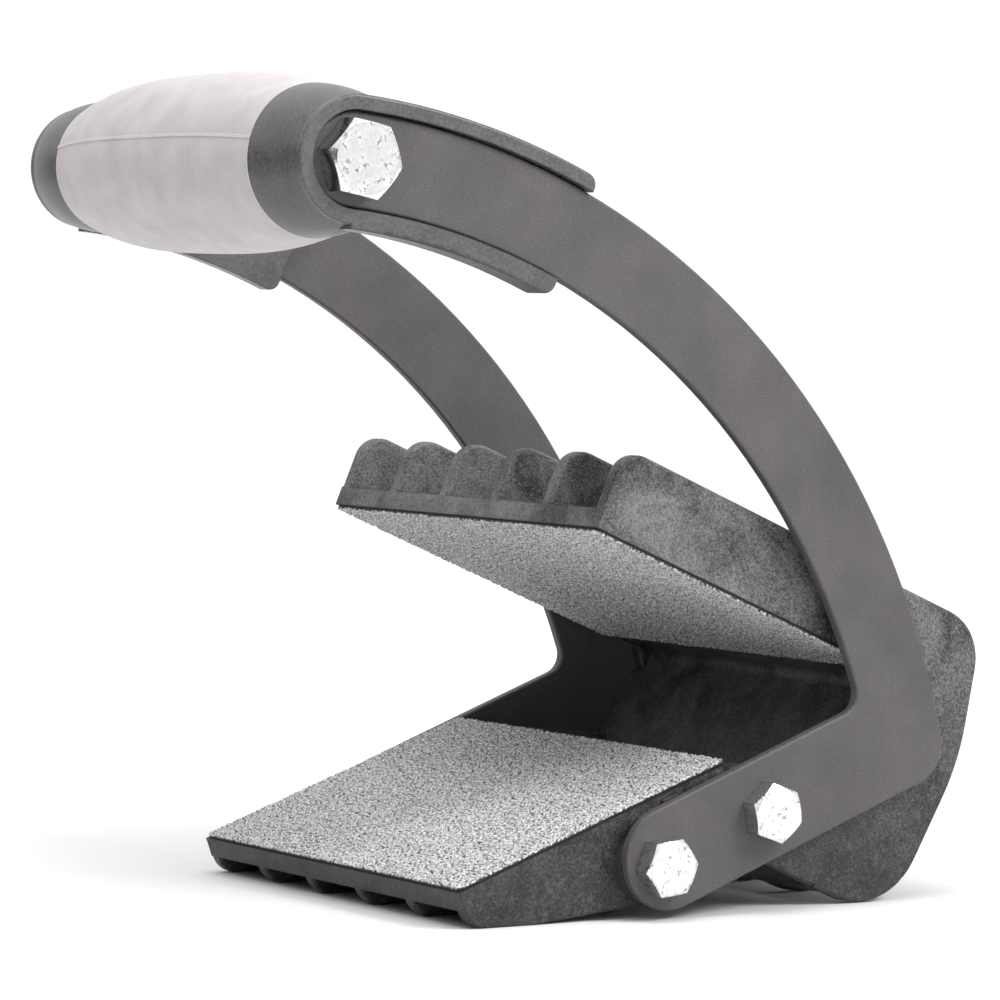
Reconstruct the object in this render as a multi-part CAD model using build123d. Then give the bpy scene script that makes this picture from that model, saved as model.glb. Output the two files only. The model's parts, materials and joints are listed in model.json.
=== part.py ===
"""One-hand panel carrier.

Two bowed steel side plates carry a moulded handle at the top and two bolts at the foot.
The lower jaw turns on the front bolt and the hooked upper jaw turns on the rear bolt, so
lifting the handle brings the two rubber-faced jaws together on the edge of a sheet.

X runs across the carrier, from the nut side (-X) to the bolt-head side (+X).
Y runs from the open mouth (-Y) to the heel (+Y), and Z is up from the floor.
The origin is on the floor under the middle of the carrier.  Lengths are millimetres.
"""
import os
from math import atan2, cos, degrees, hypot, radians, sin, sqrt

from build123d import *

# Side plates
plate_inner_x = 65.0
plate_thickness = 3.0
plate_outer_x = plate_inner_x + plate_thickness
plate_edge_round = 0.7
bow_centre = (-98.7, -1.9)
bow_inner_radius = 170.1
bow_outer_radius = 191.9
handle_angle = 84.5
foot_angle = 21.0
foot_half_width = 12.5
foot_tip_setback = 3.2
foot_rise = 0.6
inner_elbow_radius = 5.0
outer_elbow_radius = 10.0

# Pivots
front_pivot = (5.6, 13.0)
pivot_spacing = 32.5
pivot_bolt_radius = 4.0
pivot_head_across_flats = 13.0
pivot_head_height = 5.3
front_head_turn = 6.5
rear_head_turn = 40.4
nut_turn = 20.0
nut_hex_height = 6.2
nut_collar_height = 1.6
nut_collar_radius = 5.9
insert_radius = 5.0
insert_thickness = 1.2
thread_past_nut = 0.8
sleeve_radius = 6.0
bolt_clearance = 0.1
running_clearance = 0.05

# Handle
handle_bolt_radius = 5.0
handle_head_across_flats = 17.0
handle_head_height = 6.4
handle_head_turn = 48.8
handle_bolt_length = 22.0
handle_rod_radius = 8.0
core_radius = 14.0
grip_right_x = 50.5
grip_left_x = -49.5
grip_right_radius = 17.9
grip_left_radius = 16.2
grip_middle_radius = 21.4
yoke_end_angle = 64.9
yoke_web = 3.0
yoke_rim = 3.6
yoke_lower_rim = 4.6
yoke_gap = 0.4
yoke_right_x = 69.5
yoke_left_x = 68.3
yoke_right_round = 0.8
yoke_left_round = 2.9
yoke_tip_round = 3.0
parting_line_tilt = 16.0
parting_line_height = 0.25
parting_line_width = 0.6

# Jaws
jaw_half_width = 61.8
rib_thickness = 4.0
rib_count = 6
rib_edge_round = 0.9
jaw_skin = 5.0
pad_thickness = 1.2
pad_inset = 0.3
pad_corner_round = 2.0
boss_inner_x = 49.0
bush_wall = 1.5
bush_flange = 1.5
bush_flange_radius = 9.5
washer_thickness = 1.6

lower_front = (-47.3, 9.9)
lower_slope = 20.0
lower_length = 80.2
lower_boss_radius = 10.0
lower_foot_end_y = -26.0
lower_toe_radius = 6.0
shoulder_start = 43.0
shoulder_length = 10.0
shoulder_ramp = 3.0
shoulder_rise = 2.0
shoulder_depth = 17.0
stop_start = 59.3
stop_length = 4.8
stop_depth = 5.5
stop_rise = 1.6
plate_tip_gap = 1.5

upper_front = (-10.5, 92.4)
upper_slope = -22.8
upper_pad_length = 90.5
upper_depth = 21.8
upper_tip_radius = 6.5
upper_boss_radius = 10.4
wall_foot = (54.4, 4.6)
wall_angle = 56.3
web_slope = -6.0
gusset_leg = 5.5
wall_thickness = 4.5
wall_corner_radius = 2.5
heel_top = (105.5, 66.9)
heel_back = (98.9, 33.4)
heel_bottom = (76.9, -5.33)
heel_top_radius = 13.0
heel_back_radius = 60.0
heel_bottom_radius = 19.1


# Plane geometry in (y, z)
def step(base, angle, along, across=0.0):
    """The point reached from base by going along a direction and then across it."""
    c, s = cos(radians(angle)), sin(radians(angle))
    return (base[0] + along * c - across * s, base[1] + along * s + across * c)


def meet_circle(base, angle, centre, radius):
    """Where the ray from base leaves the circle."""
    dy, dz = base[0] - centre[0], base[1] - centre[1]
    b = dy * cos(radians(angle)) + dz * sin(radians(angle))
    reach = -b + sqrt(b * b - (dy * dy + dz * dz - radius * radius))
    return step(base, angle, reach)


def meet_line(p, p_angle, q, q_angle):
    """Where two lines cross, each given by a point and a direction."""
    pc, ps = cos(radians(p_angle)), sin(radians(p_angle))
    qc, qs = cos(radians(q_angle)), sin(radians(q_angle))
    reach = ((q[0] - p[0]) * qs - (q[1] - p[1]) * qc) / (pc * qs - ps * qc)
    return (p[0] + reach * pc, p[1] + reach * ps)


def tangent_point(p, centre, radius, side):
    """Where the line from p touches a circle, on its left (+1) or right (-1) as seen from p."""
    distance = hypot(centre[0] - p[0], centre[1] - p[1])
    direction = degrees(atan2(centre[1] - p[1], centre[0] - p[0]))
    spread = degrees(atan2(radius, sqrt(distance**2 - radius**2)))
    return step(p, direction + side * spread, sqrt(distance**2 - radius**2))


def direction(p, q):
    return degrees(atan2(q[1] - p[1], q[0] - p[0]))


def polygon(*points):
    return make_face(Polyline(*points, close=True))


def round_corner(face, corner, radius):
    nearest = face.vertices().sort_by_distance((corner[0], corner[1], 0))[0]
    return fillet(nearest, radius)


def disc(centre, radius):
    return Pos(centre[0], centre[1]) * Circle(radius)


def slab(face, x_from, x_to):
    """A (y, z) outline made solid between two X stations."""
    return extrude(Plane.YZ.offset(x_from) * face, amount=x_to - x_from)


def rod(centre, radius, x_from, x_to):
    return slab(disc(centre, radius), x_from, x_to)


def tube(centre, outer, inner, x_from, x_to):
    return slab(disc(centre, outer) - disc(centre, inner), x_from, x_to)


def spun(profile, centre):
    """An (x, radius) outline turned about the X axis and moved to its centre."""
    return Pos(0, centre[0], centre[1]) * revolve(profile, Axis.X)


def flipped(solid):
    return mirror(solid, about=Plane.YZ)


rear_pivot = step(front_pivot, foot_angle, pivot_spacing)
foot_tip = step(front_pivot, foot_angle, foot_tip_setback, foot_rise)
bow_middle_radius = (bow_inner_radius + bow_outer_radius) / 2
bow_half_width = (bow_outer_radius - bow_inner_radius) / 2
yoke_radius = bow_half_width + yoke_gap + yoke_rim
handle_axis = step(bow_centre, handle_angle, bow_middle_radius)


def band(inner, outer, low_angle, high_angle):
    """A stretch of a ring about the bow's centre."""
    low_inner = step(bow_centre, low_angle, inner)
    low_outer = step(bow_centre, low_angle, outer)
    high_inner = step(bow_centre, high_angle, inner)
    high_outer = step(bow_centre, high_angle, outer)
    sweep = high_angle - low_angle
    return make_face(
        [
            CenterArc(bow_centre, outer, low_angle, sweep),
            Line(high_outer, high_inner),
            CenterArc(bow_centre, inner, low_angle, sweep),
            Line(low_inner, low_outer),
        ]
    )


# Side plates
def plate_outline():
    upper_start = step(foot_tip, foot_angle, 0, foot_half_width)
    lower_start = step(foot_tip, foot_angle, 0, -foot_half_width)
    inner_elbow = meet_circle(upper_start, foot_angle, bow_centre, bow_inner_radius)
    outer_elbow = meet_circle(lower_start, foot_angle, bow_centre, bow_outer_radius)
    inner_angle = direction(bow_centre, inner_elbow)
    outer_angle = direction(bow_centre, outer_elbow)
    face = make_face(
        [
            CenterArc(bow_centre, bow_outer_radius, outer_angle, handle_angle - outer_angle),
            CenterArc(handle_axis, bow_half_width, handle_angle, 180),
            CenterArc(bow_centre, bow_inner_radius, inner_angle, handle_angle - inner_angle),
            Line(inner_elbow, upper_start),
            CenterArc(foot_tip, foot_half_width, foot_angle + 90, 180),
            Line(lower_start, outer_elbow),
        ]
    )
    face = round_corner(face, inner_elbow, inner_elbow_radius)
    return round_corner(face, outer_elbow, outer_elbow_radius)


def side_plate():
    plate = slab(plate_outline(), plate_inner_x, plate_outer_x)
    rims = [face.outer_wire().edges() for face in plate.faces().filter_by(Axis.X)]
    plate = fillet(rims[0] + rims[1], plate_edge_round)
    holes = (
        disc(front_pivot, pivot_bolt_radius + bolt_clearance)
        + disc(rear_pivot, pivot_bolt_radius + bolt_clearance)
        + disc(handle_axis, handle_bolt_radius + bolt_clearance)
    )
    return plate - slab(holes, plate_inner_x - 1, plate_outer_x + 1)


# Fasteners
def hexagon(centre, across_flats, turn):
    """A hexagon with a corner at the given turn from +Y."""
    return Pos(centre[0], centre[1]) * Rot(0, 0, turn) * RegularPolygon(across_flats / sqrt(3), 6)


def chamfer_cone(across_flats, x_from, x_to):
    """The turned blank whose 30 degree cone breaks the corners of a hexagon at x_to."""
    rim = across_flats / sqrt(3) + 0.2
    crown = across_flats * 0.475
    drop = (rim - crown) * 0.577
    outward = 1 if x_to > x_from else -1
    return Polyline(
        (x_from, 0), (x_from, rim), (x_to - outward * drop, rim), (x_to, crown), (x_to, 0), close=True
    )


def hex_bolt(centre, radius, across_flats, head_height, end_x, turn):
    """A bolt whose head sits on the outer face of the right plate."""
    top = plate_outer_x + head_height
    head = slab(hexagon(centre, across_flats, turn), plate_outer_x, top)
    head &= spun(make_face(chamfer_cone(across_flats, plate_outer_x, top)), centre)
    shank = rod(centre, radius, end_x, plate_outer_x)
    shank = chamfer(shank.edges().group_by(Axis.X)[0], 0.8)
    return head + shank


def lock_nut(centre, turn):
    top = -plate_outer_x - nut_hex_height
    end = top - nut_collar_height
    nut = slab(hexagon(centre, pivot_head_across_flats, turn), top, -plate_outer_x)
    nut &= spun(make_face(chamfer_cone(pivot_head_across_flats, -plate_outer_x, top)), centre)
    collar = rod(centre, nut_collar_radius, end, top)
    nut += chamfer(collar.edges().group_by(Axis.X)[0], 0.6)
    nut -= rod(centre, pivot_bolt_radius + running_clearance, end - 1, 0)
    return nut - rod(centre, insert_radius, end, end + insert_thickness)


def nut_insert(centre):
    end = -plate_outer_x - nut_hex_height - nut_collar_height
    inner = pivot_bolt_radius + running_clearance
    return tube(centre, insert_radius, inner, end, end + insert_thickness)


def pivot_bolt(centre, turn):
    end = -plate_outer_x - nut_hex_height - nut_collar_height - thread_past_nut
    return hex_bolt(
        centre, pivot_bolt_radius, pivot_head_across_flats, pivot_head_height, end, turn
    )


def handle_bolt():
    end = plate_outer_x - handle_bolt_length
    return hex_bolt(
        handle_axis,
        handle_bolt_radius,
        handle_head_across_flats,
        handle_head_height,
        end,
        handle_head_turn,
    )


def pivot_sleeve(centre):
    inner = pivot_bolt_radius + bolt_clearance
    return tube(centre, sleeve_radius, inner, -plate_inner_x, plate_inner_x)


def thrust_washer(centre):
    inner = sleeve_radius + bolt_clearance
    return tube(centre, bush_flange_radius, inner, plate_inner_x - washer_thickness, plate_inner_x)


def flanged_bush(centre):
    inner = sleeve_radius + running_clearance
    body = tube(centre, sleeve_radius + bush_wall, inner, boss_inner_x, jaw_half_width)
    flange = tube(centre, bush_flange_radius, inner, jaw_half_width, jaw_half_width + bush_flange)
    return body + flange


# Handle
def grip_curve(extra):
    """The barrel's side, a little fuller towards the right hand end."""
    return Spline(
        (grip_left_x, grip_left_radius + extra),
        (0.55 * grip_left_x, grip_middle_radius - 1.2 + extra),
        (0.05 * grip_right_x, grip_middle_radius + extra),
        (0.6 * grip_right_x, grip_middle_radius - 0.6 + extra),
        (grip_right_x, grip_right_radius + extra),
    )


def grip_profile(extra):
    return make_face(
        [
            grip_curve(extra),
            Line((grip_right_x, grip_right_radius + extra), (grip_right_x, core_radius)),
            Line((grip_right_x, core_radius), (grip_left_x, core_radius)),
            Line((grip_left_x, core_radius), (grip_left_x, grip_left_radius + extra)),
        ]
    )


def parting_plane():
    """A thin slab through the handle's axis, where the two mould halves met."""
    blade = Box(2 * plate_inner_x, 3 * grip_middle_radius, parting_line_width)
    return Pos(0, *handle_axis) * Rot(-parting_line_tilt, 0, 0) * blade


def handle_grip():
    grip = spun(grip_profile(0), handle_axis)
    ridge = spun(grip_profile(parting_line_height), handle_axis)
    return grip + (ridge & parting_plane())


def collar(start_x, end_x, start_radius):
    """The rounded shoulder between the grip and the yoke, drawn for the right-hand end."""
    end_radius = yoke_radius - 0.1
    shoulder = ThreePointArc(
        (start_x, start_radius),
        (start_x + 0.6 * (end_x - start_x), 0.42 * start_radius + 0.58 * end_radius + 0.5),
        (end_x, end_radius),
    )
    profile = make_face(
        [
            shoulder,
            Line((end_x, end_radius), (end_x, 0)),
            Line((end_x, 0), (start_x, 0)),
            Line((start_x, 0), (start_x, start_radius)),
        ]
    )
    return spun(profile, handle_axis)


def yoke_outline():
    inner = bow_inner_radius - yoke_gap - yoke_lower_rim
    outer = bow_outer_radius + yoke_gap + yoke_rim
    face = band(inner, outer, yoke_end_angle, handle_angle)
    face = round_corner(face, step(bow_centre, yoke_end_angle, inner), yoke_tip_round)
    face = round_corner(face, step(bow_centre, yoke_end_angle, outer), yoke_tip_round)
    return face + disc(handle_axis, yoke_radius)


def yoke_pocket():
    inner = bow_inner_radius - yoke_gap
    outer = bow_outer_radius + yoke_gap
    channel = band(inner, outer, yoke_end_angle - 2, handle_angle)
    return channel + disc(handle_axis, bow_half_width + yoke_gap)


def handle_end(grip_x, grip_radius, face_x, edge_round):
    """A collar and the yoke that cradles the plate's end, drawn for the right-hand side."""
    yoke = slab(yoke_outline(), plate_inner_x - yoke_web, face_x)
    face = yoke.faces().filter_by(Axis.X).sort_by(Axis.X)[-1]
    yoke = fillet(face.outer_wire().edges(), edge_round)
    shoulder = collar(grip_x, face_x - edge_round - 0.5, grip_radius)
    return shoulder + yoke - slab(yoke_pocket(), plate_inner_x, face_x + 1)


def handle_core():
    core = rod(handle_axis, core_radius, grip_left_x, grip_right_x)
    core += handle_end(grip_right_x, grip_right_radius, yoke_right_x, yoke_right_round)
    core += flipped(handle_end(-grip_left_x, grip_left_radius, yoke_left_x, yoke_left_round))
    return core - rod(handle_axis, handle_rod_radius + running_clearance, -plate_outer_x, plate_outer_x)


def handle_rod():
    bore_depth = handle_bolt_length - plate_thickness + 3
    bore = rod(
        handle_axis,
        handle_bolt_radius + running_clearance,
        plate_inner_x - bore_depth,
        plate_inner_x,
    )
    bar = rod(handle_axis, handle_rod_radius, -plate_inner_x, plate_inner_x)
    return bar - bore - flipped(bore)


# Jaws
def lower_at(along, up):
    return step(lower_front, lower_slope, along, up)


def upper_at(along, up):
    return step(upper_front, upper_slope, along, up)


def rib_stations():
    """Centres of the ribs in X, the outer two flush with the jaw's sides."""
    pitch = (2 * jaw_half_width - rib_thickness) / (rib_count - 1)
    first = -jaw_half_width + rib_thickness / 2
    return [first + pitch * i for i in range(rib_count)]


def rib(outline, station):
    """One rib with rounded edges."""
    solid = slab(outline, station - rib_thickness / 2, station + rib_thickness / 2)
    rims = [face.outer_wire().edges() for face in solid.faces().filter_by(Axis.X)]
    return fillet(rims[0] + rims[1], rib_edge_round)


def is_outer(station):
    return abs(station) > jaw_half_width - rib_thickness


def bosses(centre, radius):
    right = rod(centre, radius, boss_inner_x, jaw_half_width)
    return right + flipped(right)


def boss_bores(centre):
    bore = sleeve_radius + bush_wall
    return rod(centre, bore, -jaw_half_width - 1, jaw_half_width + 1)


def pad(outline):
    sheet = slab(outline, pad_inset - jaw_half_width, jaw_half_width - pad_inset)
    upright = sheet.edges().group_by(SortBy.LENGTH)[0]
    return fillet(upright, pad_corner_round)


def lower_rib_outline():
    top_front = lower_at(0, -pad_thickness)
    toe = meet_line(top_front, lower_slope - 90, (0, 0), 0)
    foot_end = (lower_foot_end_y, 0)
    belly = tangent_point(foot_end, front_pivot, lower_boss_radius, -1)
    rear_top = lower_at(lower_length - 5, -pad_thickness - 0.5)
    rear_low = lower_at(lower_length - 7, -pad_thickness - jaw_skin)
    back = tangent_point(rear_low, front_pivot, lower_boss_radius, 1)
    face = polygon(top_front, toe, foot_end, belly, front_pivot, back, rear_low, rear_top)
    face = round_corner(face, toe, lower_toe_radius)
    return face + disc(front_pivot, lower_boss_radius)


def lower_skin():
    under = -pad_thickness - jaw_skin
    outline = polygon(
        lower_at(0, -pad_thickness),
        lower_at(0, under),
        lower_at(lower_length - 7, under),
        lower_at(lower_length, -pad_thickness - 1.8),
        lower_at(lower_length, -pad_thickness),
    )
    return slab(outline, -jaw_half_width, jaw_half_width)


def lower_shoulder():
    """The raised patch on the jaw's side, with a ramp in front, that meets the plate's tip."""
    high = jaw_half_width + shoulder_rise
    end = shoulder_start + shoulder_length
    ramp = Polyline(
        (shoulder_start, jaw_half_width - 1),
        (shoulder_start, jaw_half_width),
        (shoulder_start + shoulder_ramp, high),
        (end, high),
        (end, jaw_half_width - 1),
        close=True,
    )
    along = step((0, 0), lower_slope, 1)
    down = step((0, 0), lower_slope - 90, 1)
    top = lower_at(0, -pad_thickness)
    frame = Plane(origin=(0, *top), x_dir=(0, *along), z_dir=(0, *down))
    patch = frame * extrude(make_face(ramp), amount=shoulder_depth)
    return patch - rod(foot_tip, foot_half_width + plate_tip_gap, 0, plate_outer_x)


def lower_stop():
    """A small block on the jaw's side, just behind the shoulder."""
    end = stop_start + stop_length
    outline = polygon(
        lower_at(stop_start, -pad_thickness - jaw_skin / 4),
        lower_at(end, -pad_thickness - jaw_skin / 4),
        lower_at(end, -stop_depth),
        lower_at(stop_start, -stop_depth),
    )
    return slab(outline, jaw_half_width - 1, jaw_half_width + stop_rise)


def lower_jaw():
    jaw = lower_skin() + bosses(front_pivot, lower_boss_radius)
    for station in rib_stations():
        jaw += rib(lower_rib_outline(), station)
    for side_piece in (lower_shoulder(), lower_stop()):
        jaw += side_piece + flipped(side_piece)
    return jaw - boss_bores(front_pivot)


def wall_corner():
    """Where the underside of the skin meets the front face of the back wall."""
    return meet_line(upper_at(0, pad_thickness), upper_slope, wall_foot, wall_angle)


def sole_angle():
    """The direction of the heel's underside, from the heel forward to the boss."""
    boss_low = tangent_point(heel_bottom, rear_pivot, upper_boss_radius, 1)
    return direction(heel_bottom, boss_low)


def upper_rib_outline(outer):
    tip = upper_at(0, upper_depth)
    wall_sole = meet_line(wall_foot, wall_angle, heel_bottom, sole_angle())
    front = [wall_sole, wall_corner()]
    if outer:
        boss_low = tangent_point(heel_bottom, rear_pivot, upper_boss_radius, 1)
        boss_top = step(rear_pivot, web_slope, 0, upper_boss_radius)
        web_end = meet_line(boss_top, web_slope, wall_foot, wall_angle)
        gusset_low = step(wall_corner(), wall_angle, -gusset_leg)
        gusset_front = step(wall_corner(), upper_slope, -gusset_leg)
        front = [boss_low, rear_pivot, boss_top, web_end, gusset_low, gusset_front]
    face = polygon(upper_at(0, pad_thickness), tip, heel_top, heel_back, heel_bottom, *front)
    face = round_corner(face, tip, upper_tip_radius)
    face = round_corner(face, heel_top, heel_top_radius)
    face = round_corner(face, heel_back, heel_back_radius)
    face = round_corner(face, heel_bottom, heel_bottom_radius)
    return face + disc(rear_pivot, upper_boss_radius) if outer else face


def upper_skin():
    """The jaw plate and the back wall, bent from one thickness of plastic."""
    corner = wall_corner()
    top = pad_thickness + jaw_skin
    wall_sole = meet_line(wall_foot, wall_angle, heel_bottom, sole_angle())
    wall_back = step(corner, wall_angle, 0, -wall_thickness)
    back_sole = meet_line(wall_back, wall_angle, heel_bottom, sole_angle())
    outer_corner = meet_line(upper_at(0, top), upper_slope, wall_back, wall_angle)
    outline = polygon(
        upper_at(0, pad_thickness), upper_at(0, top), outer_corner, back_sole, wall_sole, corner
    )
    outline = round_corner(outline, corner, wall_corner_radius)
    return slab(outline, -jaw_half_width, jaw_half_width)


def upper_jaw():
    jaw = upper_skin() + bosses(rear_pivot, upper_boss_radius)
    for station in rib_stations():
        jaw += rib(upper_rib_outline(is_outer(station)), station)
    return jaw - boss_bores(rear_pivot)


def lower_jaw_pad():
    return pad(
        polygon(
            lower_at(pad_inset, -pad_thickness),
            lower_at(lower_length - pad_inset, -pad_thickness),
            lower_at(lower_length - pad_inset, 0),
            lower_at(pad_inset, 0),
        )
    )


def upper_jaw_pad():
    return pad(
        polygon(
            upper_at(pad_inset, 0),
            upper_at(upper_pad_length, 0),
            upper_at(upper_pad_length, pad_thickness),
            upper_at(pad_inset, pad_thickness),
        )
    )


def parts():
    made = {
        "side_plate_right": side_plate(),
        "handle_core": handle_core(),
        "handle_grip": handle_grip(),
        "handle_rod": handle_rod(),
        "handle_bolt_right": handle_bolt(),
        "lower_jaw": lower_jaw(),
        "lower_jaw_pad": lower_jaw_pad(),
        "upper_jaw": upper_jaw(),
        "upper_jaw_pad": upper_jaw_pad(),
    }
    made["side_plate_left"] = flipped(made["side_plate_right"])
    made["handle_bolt_left"] = flipped(made["handle_bolt_right"])
    pivots = {
        "front": (front_pivot, front_head_turn, "lower"),
        "rear": (rear_pivot, rear_head_turn, "upper"),
    }
    for name, (centre, turn, jaw) in pivots.items():
        made[f"{name}_pivot_bolt"] = pivot_bolt(centre, turn)
        made[f"{name}_pivot_nut"] = lock_nut(centre, turn + nut_turn)
        made[f"{name}_nut_insert"] = nut_insert(centre)
        made[f"{name}_pivot_sleeve"] = pivot_sleeve(centre)
        made[f"{name}_thrust_washer_right"] = thrust_washer(centre)
        made[f"{name}_thrust_washer_left"] = flipped(thrust_washer(centre))
        made[f"{jaw}_jaw_bush_right"] = flanged_bush(centre)
        made[f"{jaw}_jaw_bush_left"] = flipped(flanged_bush(centre))
    return made


def main():
    os.makedirs("parts", exist_ok=True)
    for name, solid in parts().items():
        solid.label = name
        export_step(solid, f"parts/{name}.step")
        box = solid.bounding_box()
        print(f"{name:28s} {len(solid.solids())} solid  {solid.volume:10.0f} mm3  {box.size}")


main()
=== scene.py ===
"""Looks of a one-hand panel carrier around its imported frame. Lengths are metres."""
import json
import math

import bpy
from mathutils import Matrix, Vector, noise

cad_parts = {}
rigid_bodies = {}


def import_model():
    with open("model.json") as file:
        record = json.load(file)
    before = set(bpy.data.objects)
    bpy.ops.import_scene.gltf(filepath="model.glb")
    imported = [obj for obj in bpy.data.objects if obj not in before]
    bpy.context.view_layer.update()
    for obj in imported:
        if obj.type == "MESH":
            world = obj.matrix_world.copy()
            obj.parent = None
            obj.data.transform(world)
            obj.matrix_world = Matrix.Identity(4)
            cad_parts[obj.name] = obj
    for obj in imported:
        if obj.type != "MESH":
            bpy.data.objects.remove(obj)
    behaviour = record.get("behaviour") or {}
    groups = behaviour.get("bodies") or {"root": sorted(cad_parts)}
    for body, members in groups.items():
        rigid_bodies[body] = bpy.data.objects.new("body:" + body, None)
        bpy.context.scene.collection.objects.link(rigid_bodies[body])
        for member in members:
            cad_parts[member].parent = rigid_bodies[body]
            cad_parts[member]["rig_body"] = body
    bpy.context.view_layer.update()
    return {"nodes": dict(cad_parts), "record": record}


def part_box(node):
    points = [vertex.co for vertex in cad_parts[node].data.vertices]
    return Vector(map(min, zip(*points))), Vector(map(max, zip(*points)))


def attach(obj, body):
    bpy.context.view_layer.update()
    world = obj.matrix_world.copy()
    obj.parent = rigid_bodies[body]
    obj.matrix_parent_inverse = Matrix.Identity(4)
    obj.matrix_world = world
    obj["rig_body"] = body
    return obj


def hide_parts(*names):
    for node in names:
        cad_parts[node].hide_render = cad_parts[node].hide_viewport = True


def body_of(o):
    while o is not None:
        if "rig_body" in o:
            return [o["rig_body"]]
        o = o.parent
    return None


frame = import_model()
nodes = frame["nodes"]
MM = 0.001


# Material nodes
BEVEL_SAMPLES = 6
FLAT_FACING = 0.995  # how far a rounded normal still agrees with the face on a flat
EDGE_FACING = 0.88  # and how far it does at an edge


class Graph:
    """A material's nodes, wired by name."""

    def __init__(self, name):
        self.material = bpy.data.materials.new(name)
        self.material.use_nodes = True
        self.tree = self.material.node_tree
        self.tree.nodes.clear()
        self.output = self.tree.nodes.new("ShaderNodeOutputMaterial")
        self.shader = self.add("BsdfPrincipled")
        self.link(self.shader.outputs[0], self.output.inputs[0])
        self.place = self.add("TexCoord").outputs["Object"]

    def add(self, kind, **values):
        node = self.tree.nodes.new("ShaderNode" + kind)
        for key, value in values.items():
            setattr(node, key, value)
        return node

    def link(self, source, target):
        self.tree.links.new(source, target)

    def put(self, socket, value):
        """Sets an input to a number or colour, or wires it to another node's output."""
        if isinstance(value, bpy.types.NodeSocket):
            self.link(value, socket)
        else:
            socket.default_value = value

    def set(self, **values):
        """Inputs of the surface shader, with _ for the spaces in their names."""
        for key, value in values.items():
            self.put(self.shader.inputs[key.replace("_", " ")], value)

    def stretched(self, x, y, z):
        mapping = self.add("Mapping")
        self.link(self.place, mapping.inputs["Vector"])
        mapping.inputs["Scale"].default_value = (x, y, z)
        return mapping.outputs[0]

    def noise(self, size, detail=2.0, roughness=0.5, place=None, distortion=0.0):
        """Noise whose blotches are about the given size in metres, from 0 to 1."""
        node = self.add("TexNoise")
        self.link(place or self.place, node.inputs["Vector"])
        node.inputs["Scale"].default_value = 1 / size
        node.inputs["Detail"].default_value = detail
        node.inputs["Roughness"].default_value = roughness
        node.inputs["Distortion"].default_value = distortion
        return node.outputs[0]

    def span(self, value, low, high, to_low=0.0, to_high=1.0):
        """Maps low..high to another range, clamped."""
        node = self.add("MapRange")
        self.put(node.inputs["Value"], value)
        limits = {"From Min": low, "From Max": high, "To Min": to_low, "To Max": to_high}
        for key, number in limits.items():
            self.put(node.inputs[key], number)
        return node.outputs[0]

    def math(self, operation, a, b):
        node = self.add("Math", operation=operation)
        self.put(node.inputs[0], a)
        self.put(node.inputs[1], b)
        return node.outputs[0]

    def mix(self, factor, a, b):
        """Mixes two colours."""
        node = self.add("Mix", data_type="RGBA")
        self.put(node.inputs["Factor"], factor)
        self.put(node.inputs["A"], a)
        self.put(node.inputs["B"], b)
        return node.outputs["Result"]

    def bump(self, height, depth, strength=1.0, below=None):
        node = self.add("Bump")
        self.put(node.inputs["Height"], height)
        node.inputs["Distance"].default_value = depth
        node.inputs["Strength"].default_value = strength
        if below is not None:
            self.link(below, node.inputs["Normal"])
        return node.outputs[0]

    def edges(self, radius):
        """Near 1 on the object's edges and 0 on its flats."""
        bevel = self.add("Bevel", samples=BEVEL_SAMPLES)
        bevel.inputs["Radius"].default_value = radius
        normal = self.add("NewGeometry").outputs["Normal"]
        turn = self.add("VectorMath", operation="DOT_PRODUCT")
        self.link(bevel.outputs[0], turn.inputs[0])
        self.link(normal, turn.inputs[1])
        return self.span(turn.outputs["Value"], FLAT_FACING, EDGE_FACING)


def grey(value, warm=0.0):
    """A grey, tinted towards red by the given share."""
    return (value * (1 + warm), value, value * (1 - warm), 1)


def powder_coat():
    """Dark textured paint on steel, with fine grain over soft clouds and a faint orange peel."""
    g = Graph("powder_coat")
    grain = g.noise(0.5 * MM, 3.0, 0.65)
    peel = g.noise(1.9 * MM, 2.0)
    cloud = g.noise(22 * MM, 4.0, 0.6)
    warm = g.noise(17 * MM, 3.0, 0.5, None, 0.4)
    tone = g.mix(g.span(cloud, 0.33, 0.67), (0.056, 0.053, 0.052, 1), (0.08, 0.074, 0.073, 1))
    tone = g.mix(g.span(warm, 0.5, 0.7, 0, 0.35), tone, (0.088, 0.073, 0.074, 1))
    tone = g.mix(g.span(grain, 0.52, 0.72, 0, 0.35), tone, grey(0.16, 0.012))
    tone = g.mix(g.span(grain, 0.46, 0.32, 0, 0.45), tone, grey(0.035, 0.012))
    # Painted shade: the rounded edges are darkened a little, standing in for the shade that falls on
    # them.
    tone = g.mix(g.math("MULTIPLY", g.edges(0.6 * MM), 0.3), tone, grey(0.03))
    normal = g.bump(peel, 0.16 * MM, 0.5)
    g.set(
        Base_Color=tone,
        Roughness=g.span(grain, 0.3, 0.7, 0.4, 0.58),
        Specular_IOR_Level=0.4,
        Normal=g.bump(grain, 0.08 * MM, 0.6, normal),
    )
    return g.material


def handle_plastic():
    """Dark moulded plastic with a fine grain, with painted shade darkening it along its edges."""
    g = Graph("handle_plastic")
    grain = g.noise(0.7 * MM, 3.0, 0.6)
    cloud = g.noise(14 * MM, 4.0, 0.6)
    tone = g.mix(g.span(cloud, 0.35, 0.65), grey(0.055, 0.02), grey(0.088, 0.02))
    tone = g.mix(g.span(grain, 0.52, 0.7, 0, 0.4), tone, grey(0.15, 0.02))
    tone = g.mix(g.span(grain, 0.46, 0.34, 0, 0.4), tone, grey(0.03, 0.02))
    # Painted shade: the edges are darkened nearly to black, standing in for the shade in the recesses
    # along them.
    tone = g.mix(g.math("MULTIPLY", g.edges(0.6 * MM), 0.8), tone, grey(0.015))
    g.set(
        Base_Color=tone,
        Roughness=g.span(grain, 0.3, 0.7, 0.28, 0.44),
        Normal=g.bump(grain, 0.07 * MM, 0.6),
    )
    return g.material


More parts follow.
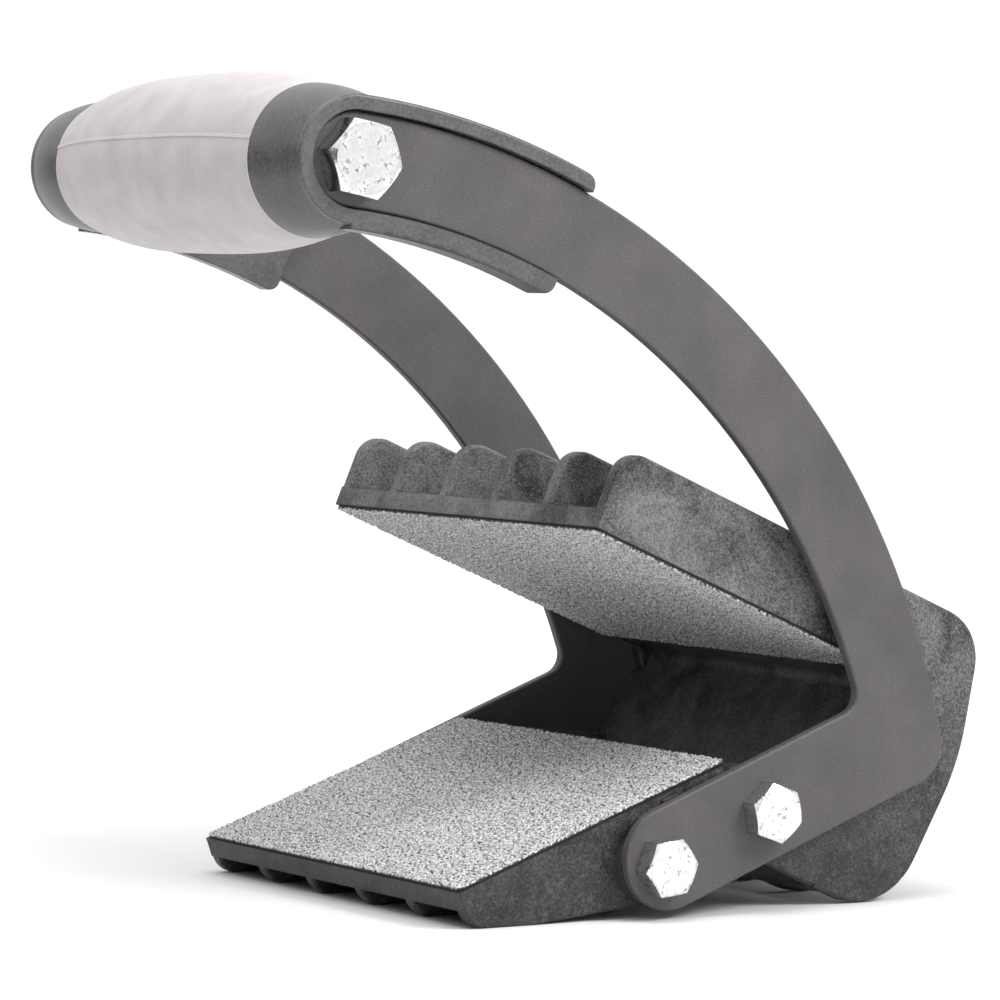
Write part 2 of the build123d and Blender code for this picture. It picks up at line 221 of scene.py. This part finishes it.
def grip_rubber():
    """Mottled elastomer: fine grain, chalky streaks up the barrel, and a painted highlight that makes
    its edges pale, the parting line among them.
    """
    g = Graph("grip_rubber")
    grain = g.noise(0.55 * MM, 3.0, 0.65)
    streak = g.noise(8 * MM, 4.0, 0.55, g.stretched(1.5, 0.7, 0.7), 0.4)
    blotch = g.noise(11 * MM, 4.0, 0.6, None, 0.5)
    pink = g.noise(13 * MM, 3.0, 0.5, None, 0.3)
    tone = g.mix(g.span(blotch, 0.32, 0.68), (0.42, 0.39, 0.392, 1), (0.515, 0.482, 0.485, 1))
    tone = g.mix(g.span(pink, 0.52, 0.7, 0, 0.5), tone, (0.46, 0.39, 0.41, 1))
    tone = g.mix(g.span(streak, 0.52, 0.74, 0, 0.3), tone, (0.53, 0.51, 0.52, 1))
    tone = g.mix(g.span(grain, 0.54, 0.72, 0, 0.2), tone, (0.6, 0.57, 0.57, 1))
    # Painted highlight: the edges, the parting line among them, are painted pale as if lit.
    tone = g.mix(g.math("MULTIPLY", g.edges(0.5 * MM), 0.8), tone, (0.7, 0.68, 0.68, 1))
    g.set(
        Base_Color=tone,
        Roughness=g.span(streak, 0.3, 0.75, 0.4, 0.6),
        Subsurface_Weight=0.06,
        Subsurface_Radius=(0.004, 0.003, 0.003),
        Normal=g.bump(grain, 0.06 * MM, 0.5, g.bump(blotch, 0.3 * MM, 0.25)),
    )
    return g.material


# Heights over which the jaws' painted top light goes from dark to pale.
TOP_LIGHT_LOW = 10 * MM
TOP_LIGHT_HIGH = 85 * MM


def jaw_plastic():
    """Black moulded nylon with a coarse crinkle; painted light makes it paler and more speckled with
    height, and a painted dark reflection darkens its edges.
    """
    g = Graph("jaw_plastic")
    grain = g.noise(0.55 * MM, 4.0, 0.75)
    crease = g.noise(2.4 * MM, 4.0, 0.65, None, 1.4)
    cloud = g.noise(17 * MM, 4.0, 0.6, None, 0.8)
    # Painted light: the tone and the pale specks rise with height, standing in for the light falling
    # from above.
    height = g.add("SeparateXYZ")
    g.link(g.place, height.inputs[0])
    top_light = g.span(height.outputs["Z"], TOP_LIGHT_LOW, TOP_LIGHT_HIGH)
    pale = g.mix(top_light, grey(0.03, 0.04), grey(0.14, 0.03))
    tone = g.mix(g.span(cloud, 0.36, 0.64), grey(0.008, 0.05), pale)
    tone = g.mix(g.span(crease, 0.53, 0.68, 0, 0.6), tone, grey(0.095, 0.04))
    tone = g.mix(g.span(crease, 0.45, 0.32, 0, 0.5), tone, grey(0.01, 0.05))
    speck = g.math("MULTIPLY", g.span(grain, 0.49, 0.62), g.span(cloud, 0.3, 0.6, 0.35, 0.8))
    speck = g.math("MULTIPLY", speck, g.span(top_light, 0, 0.6, 0.3, 1))
    tone = g.mix(speck, tone, grey(0.2, 0.03))
    tone = g.mix(g.span(grain, 0.47, 0.36, 0, 0.75), tone, grey(0.004))
    # Painted reflection: the edges are darkened almost to black, standing in for the dark that the
    # rounded rib edges reflect.
    tone = g.mix(g.math("MULTIPLY", g.edges(0.75 * MM), 0.92), tone, grey(0.006))
    normal = g.bump(crease, 0.5 * MM, 0.45)
    g.set(
        Base_Color=tone,
        Roughness=g.span(grain, 0.3, 0.7, 0.34, 0.55),
        Specular_IOR_Level=0.4,
        Normal=g.bump(grain, 0.2 * MM, 0.8, normal),
    )
    return g.material


def pad_rubber():
    """Grey friction rubber with pale and dark specks; painted shade darkens it in the pits of its
    modelled grains, so the crests stay pale.
    """
    g = Graph("pad_rubber")
    pit = g.add("Attribute", attribute_name="pit").outputs["Fac"]
    fine = g.noise(0.45 * MM, 3.0, 0.7)
    cloud = g.noise(25 * MM, 3.0)
    tone = g.mix(g.span(cloud, 0.3, 0.7), grey(0.46), grey(0.54))
    tone = g.mix(g.span(fine, 0.51, 0.62, 0, 0.9), tone, grey(0.95))
    tone = g.mix(g.span(fine, 0.48, 0.4, 0, 0.9), tone, grey(0.03))
    # Painted shade: the deeper a point lies in a pit, the darker it is painted, down to near black.
    tone = g.mix(g.span(pit, 0.34, 0.62, 0, 0.98), tone, grey(0.012))
    g.set(
        Base_Color=tone,
        Roughness=g.span(pit, 0.2, 0.7, 0.5, 0.8),
        Normal=g.bump(fine, 0.25 * MM, 0.6),
    )
    return g.material


def zinc():
    """Bright plated steel with dark flecks, fine scratches and a painted dark reflection along its
    edges.
    """
    g = Graph("zinc_steel")
    haze = g.noise(3.5 * MM, 4.0, 0.6)
    fleck = g.noise(0.9 * MM, 4.0, 0.6, None, 0.5)
    scratch = g.noise(1.2 * MM, 3.0, 0.6, g.stretched(1, 6, 1))
    tone = g.mix(g.span(haze, 0.35, 0.65), (0.74, 0.75, 0.75, 1), (0.9, 0.9, 0.89, 1))
    # Dark flecks at random over the plating, where two noises overlap.
    dark_fleck_mask = g.math("MULTIPLY", g.span(fleck, 0.52, 0.6), g.span(haze, 0.46, 0.56))
    tone = g.mix(g.math("MULTIPLY", dark_fleck_mask, 0.8), tone, (0.12, 0.12, 0.12, 1))
    # Painted reflection: the edges and chamfers are darkened, standing in for the dark they reflect.
    tone = g.mix(g.math("MULTIPLY", g.edges(0.55 * MM), 0.9), tone, (0.12, 0.12, 0.13, 1))
    normal = g.bump(haze, 0.18 * MM, 0.4)
    g.set(
        Base_Color=tone,
        Metallic=1.0,
        Roughness=g.span(haze, 0.3, 0.7, 0.12, 0.26),
        Normal=g.bump(scratch, 0.04 * MM, 0.4, normal),
    )
    return g.material


def turned_steel():
    """Plain steel with turning marks round the X axis."""
    g = Graph("plain_steel")
    ring = g.noise(0.6 * MM, 2.0, 0.5, g.stretched(1, 0.02, 0.02))
    haze = g.noise(6 * MM, 3.0)
    g.set(
        Base_Color=g.mix(haze, (0.42, 0.42, 0.43, 1), (0.6, 0.6, 0.6, 1)),
        Metallic=1.0,
        Roughness=g.span(haze, 0.3, 0.7, 0.28, 0.45),
        Normal=g.bump(ring, 0.03 * MM, 0.4),
    )
    return g.material


def plain_plastic(name, tone, light):
    """Smooth plastic, between two colours."""
    g = Graph(name)
    grain = g.noise(1.2 * MM, 3.0)
    g.set(
        Base_Color=g.mix(grain, tone, light),
        Roughness=g.span(grain, 0.3, 0.7, 0.35, 0.5),
        Normal=g.bump(grain, 0.03 * MM, 0.4),
    )
    return g.material


finishes = {
    "powder_coat": powder_coat(),
    "handle_plastic": handle_plastic(),
    "grip_rubber": grip_rubber(),
    "jaw_plastic": jaw_plastic(),
    "pad_rubber": pad_rubber(),
    "zinc_steel": zinc(),
    "plain_steel": turned_steel(),
    "acetal": plain_plastic("acetal", grey(0.03), grey(0.05)),
    "nylon": plain_plastic("nylon", (0.3, 0.36, 0.45, 1), (0.4, 0.46, 0.55, 1)),
}


def add_to_scene(thing):
    bpy.context.scene.collection.objects.link(thing)


def paint(thing, slot):
    thing.data.materials.clear()
    thing.data.materials.append(finishes[slot])


for part in frame["record"]["subparts"]:
    paint(nodes[part["node"]], part["material_slot"])


# Gritty pads
GRAIN = 1.0 * MM
GRIT_DEPTH = 0.7 * MM
GRID_STEP = 0.4 * MM
PAD_THICKNESS = 1.2 * MM
PAD_CORNER = 1.6 * MM
COARSE_GRAINS = 1.3  # grains to a length of GRAIN
FINE_GRAINS = 2.3
FINE_SHIFT = Vector((31, 7, 3))
GRIT_LEVEL = 0.36
GRIT_SWING = 0.8


def pad_corner(across, along, half_width, half_length):
    """The point, drawn in where it lies outside the pad's rounded corner."""
    over = Vector((abs(across) - (half_width - PAD_CORNER), abs(along) - (half_length - PAD_CORNER)))
    if over.x > 0 and over.y > 0 and over.length > PAD_CORNER:
        over *= PAD_CORNER / over.length
        across = math.copysign(half_width - PAD_CORNER + over.x, across)
        along = math.copysign(half_length - PAD_CORNER + over.y, along)
    return across, along


def grit(across, along):
    """How far the surface lies below the crests of its grains, from 0 to 1."""
    place = Vector((across, along, 0)) / GRAIN
    coarse = noise.noise(place * COARSE_GRAINS)
    fine = noise.noise(place * FINE_GRAINS + FINE_SHIFT)
    return min(1.0, max(0.0, GRIT_LEVEL + GRIT_SWING * coarse + GRIT_SWING * fine))


def gritty_pad(node, mount_name):
    """A closed sheet over a CAD pad, with its face broken into grains that stay inside it."""
    mount = next(m for m in frame["record"]["mounts"] if m["name"] == mount_name)
    normal = Vector(mount["axis"]).normalized()
    face = Vector(mount["pos_m"])
    uphill = Vector((0, normal.z, -normal.y))
    if uphill.y < 0:
        uphill = -uphill
    low, high = (Vector(v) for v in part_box(node))
    half_width = (high.x - low.x) / 2
    reach = (high.y - low.y - PAD_THICKNESS * abs(normal.y)) / uphill.y
    middle = Vector((0, (low.y + high.y) / 2, (low.z + high.z) / 2)) + normal * PAD_THICKNESS / 2
    half_length = reach / 2
    columns = round(2 * half_width / GRID_STEP)
    rows = round(2 * half_length / GRID_STEP)
    points = []
    pits = []
    for level in (0, 1):
        for row in range(rows + 1):
            for column in range(columns + 1):
                across = half_width * (2 * column / columns - 1)
                along = half_length * (2 * row / rows - 1)
                across, along = pad_corner(across, along, half_width, half_length)
                # The underside gets pit 1, so painted shade darkens the sheet's sides towards their
                # base.
                pit = 1.0 if level else grit(across, along)
                pits.append(pit)
                depth = PAD_THICKNESS if level else GRIT_DEPTH * pit
                points.append(middle + Vector((across, 0, 0)) + uphill * along - normal * depth)
    width = columns + 1
    under = width * (rows + 1)
    faces = []
    for row in range(rows):
        for column in range(columns):
            a = row * width + column
            faces.append((a, a + 1, a + width + 1, a + width))
    rim = list(range(width))
    rim += [row * width + columns for row in range(1, rows + 1)]
    rim += [rows * width + column for column in range(columns - 1, -1, -1)]
    rim += [row * width for row in range(rows - 1, 0, -1)]
    for a, b in zip(rim, rim[1:] + rim[:1]):
        faces.append((b, a, a + under, b + under))
    faces.append([v + under for v in reversed(rim)])
    used = sorted({v for corners in faces for v in corners})
    index = {v: i for i, v in enumerate(used)}
    mesh = bpy.data.meshes.new(node + "_grit")
    mesh.from_pydata([points[v] for v in used], [], [[index[v] for v in corners] for corners in faces])
    if normal.z < 0:
        mesh.flip_normals()
    mesh.attributes.new("pit", "FLOAT", "POINT").data.foreach_set("value", [pits[v] for v in used])
    mesh.polygons.foreach_set("use_smooth", [True] * len(mesh.polygons))
    sheet = bpy.data.objects.new(node + "_grit", mesh)
    add_to_scene(sheet)
    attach(sheet, body_of(nodes[node])[0])
    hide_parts(node)
    paint(sheet, "pad_rubber")


gritty_pad("lower_jaw_pad", "lower_grip_face")
gritty_pad("upper_jaw_pad", "upper_grip_face")


# Floor, light and camera
FLOOR_REACH = 12.0
FLOOR_PALE_FROM = 0.25
FLOOR_PALE_TO = 0.9
SKY_STRENGTH = 1.06
LAMP_WATTS = 13
LAMP_AIM = (0, 0, 0.08)
CAMERA_AZIMUTH = math.radians(58.0)
CAMERA_ELEVATION = math.radians(2.467)
CAMERA_ROLL = math.radians(0.808)
CAMERA_AIM = Vector((0.0282, -0.0162, 0.0986))
CAMERA_DISTANCE = 1.145
CAMERA_LENS = 170.73
CAMERA_SENSOR = 36.0


def facing(place, target):
    """The turn that points -Z from one place to another."""
    return (Vector(target) - Vector(place)).to_track_quat("-Z", "Y").to_euler()


def floor():
    """A wide floor that pales with distance from the object."""
    g = Graph("floor")
    reach = g.add("VectorMath", operation="LENGTH")
    g.link(g.place, reach.inputs[0])
    tone = g.mix(g.span(reach.outputs["Value"], FLOOR_PALE_FROM, FLOOR_PALE_TO), grey(0.72), grey(0.97))
    g.set(Base_Color=tone, Roughness=0.7, Specular_IOR_Level=0.2)
    mesh = bpy.data.meshes.new("floor")
    far = FLOOR_REACH
    corners = [(-far, -far, 0), (far, -far, 0), (far, far, 0), (-far, far, 0)]
    mesh.from_pydata(corners, [], [(0, 1, 2, 3)])
    mesh.materials.append(g.material)
    sheet = bpy.data.objects.new("floor", mesh)
    add_to_scene(sheet)


def softbox(name, place, size):
    """A square lamp aimed at the object, which the camera doesn't see."""
    light = bpy.data.lights.new(name, "AREA")
    light.shape = "RECTANGLE"
    light.size = light.size_y = size
    light.energy = LAMP_WATTS
    lamp = bpy.data.objects.new(name, light)
    lamp.location = place
    lamp.visible_camera = False
    lamp.rotation_euler = facing(place, LAMP_AIM)
    add_to_scene(lamp)


def flag(name, place, target, width, height):
    """A black studio card that the camera doesn't see, for dark reflections and shade."""
    g = Graph(name)
    g.set(Base_Color=(0.01, 0.01, 0.01, 1), Roughness=0.9)
    x = width / 2
    y = height / 2
    mesh = bpy.data.meshes.new(name)
    mesh.from_pydata([(-x, -y, 0), (x, -y, 0), (x, y, 0), (-x, y, 0)], [], [(0, 1, 2, 3)])
    mesh.materials.append(g.material)
    card = bpy.data.objects.new(name, mesh)
    card.location = place
    card.rotation_euler = facing(place, target)
    card.visible_camera = False
    add_to_scene(card)


def world():
    """Even white light from all round."""
    sky = bpy.data.worlds.new("studio")
    bpy.context.scene.world = sky
    sky.use_nodes = True
    shade = sky.node_tree.nodes["Background"]
    shade.inputs["Color"].default_value = (1, 1, 1, 1)
    shade.inputs["Strength"].default_value = SKY_STRENGTH


def camera():
    level = math.cos(CAMERA_ELEVATION)
    back = Vector((
        math.sin(CAMERA_AZIMUTH) * level,
        -math.cos(CAMERA_AZIMUTH) * level,
        math.sin(CAMERA_ELEVATION),
    ))
    data = bpy.data.cameras.new("camera")
    data.lens = CAMERA_LENS
    data.sensor_width = CAMERA_SENSOR
    eye = bpy.data.objects.new("camera", data)
    turn = (-back).to_track_quat("-Z", "Y").to_matrix() @ Matrix.Rotation(CAMERA_ROLL, 3, "Z")
    eye.matrix_world = Matrix.Translation(CAMERA_AIM + back * CAMERA_DISTANCE) @ turn.to_4x4()
    add_to_scene(eye)
    bpy.context.scene.camera = eye


floor()
world()
softbox("key", (0.95, 0.6, 0.95), 0.45)
softbox("top", (0.2, -0.3, 1.5), 0.9)
flag("flag_front", (-0.25, -0.7, 0.17), (0, 0, 0.1), 1.5, 0.34)
flag("flag_camera", (1.2, -0.85, 0.3), (0, 0, 0.12), 0.5, 0.5)
camera()
bpy.context.scene.view_settings.view_transform = "Standard"
